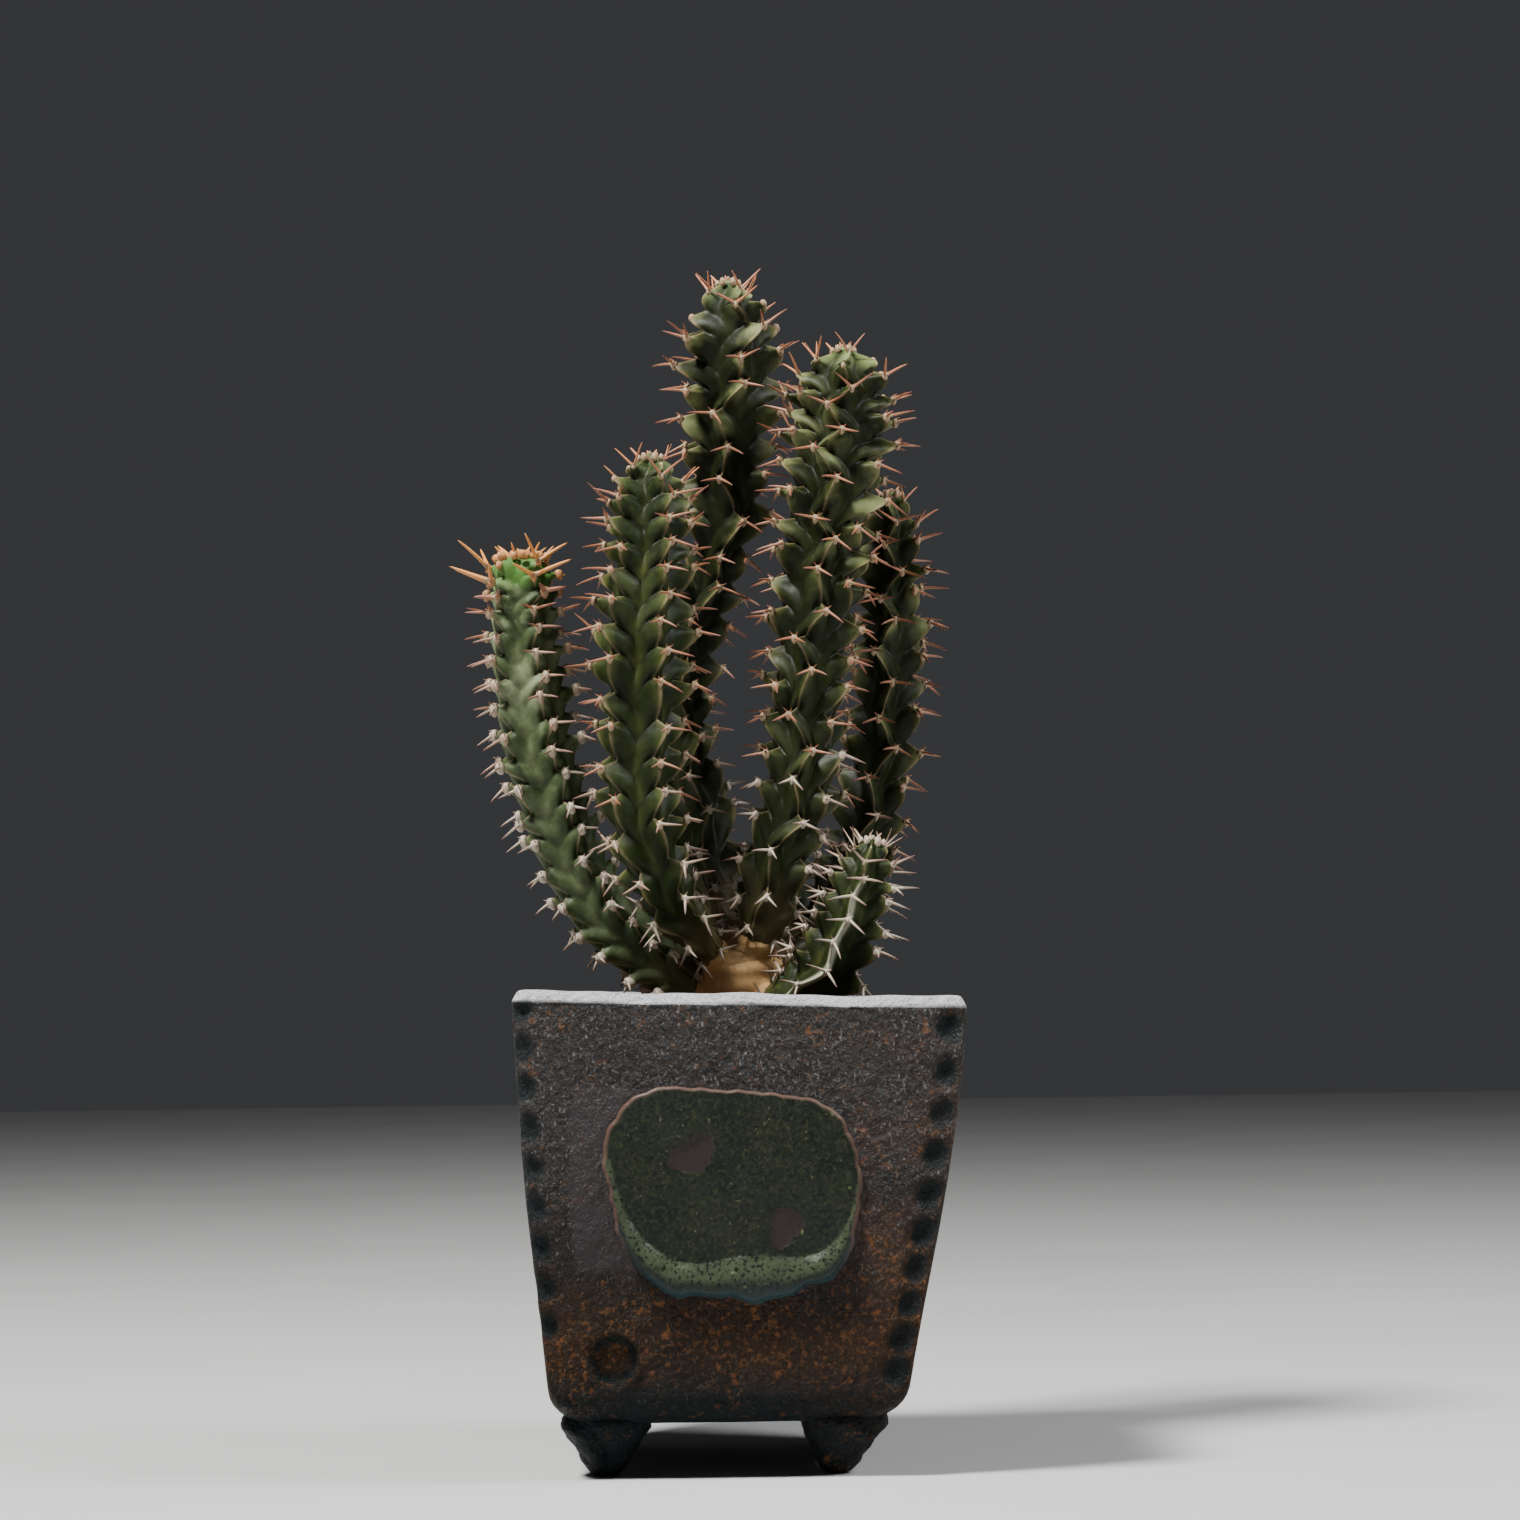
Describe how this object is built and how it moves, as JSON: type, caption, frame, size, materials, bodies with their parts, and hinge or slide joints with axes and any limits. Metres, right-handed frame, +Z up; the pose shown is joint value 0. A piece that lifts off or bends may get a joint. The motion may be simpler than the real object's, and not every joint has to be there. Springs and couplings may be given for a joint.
{
  "type": "potted spiny succulent",
  "caption": "Many-stemmed ribbed spiny succulent on a short woody trunk, growing in gritty mix in a square tapered stoneware pot with pinched corners, a bevelled rim and stubby feet.",
  "frame": {"origin": "on the ground under the middle of the whole object, level with the bottoms of the feet", "axes": "+Z up along the stems, -Y towards the face with the glaze pool, +X to the right of that face"},
  "size_m": [0.1098, 0.0934, 0.2613],
  "materials": {
    "stoneware": "coarse dark stoneware with rust specks, a bluish tint low down and a poured green glaze pool",
    "gritty_mix": "rough mineral potting mix",
    "bark": "smooth tan bark with darker bands",
    "stem_grey_green": "waxy grey-green skin with paler midlines",
    "stem_green": "waxy dark green skin with yellow-green midlines",
    "spine": "horny spines, red-brown when young and grey-white when old"
  },
  "bodies": {
    "root": {"pot": "stoneware", "potting_mix": "gritty_mix", "trunk": "bark", "stem_left": "stem_grey_green", "stem_front": "stem_green", "stem_back": "stem_green", "stem_centre": "stem_green", "stem_right": "stem_green", "stem_short": "stem_green"}
  },
  "joints": []
}
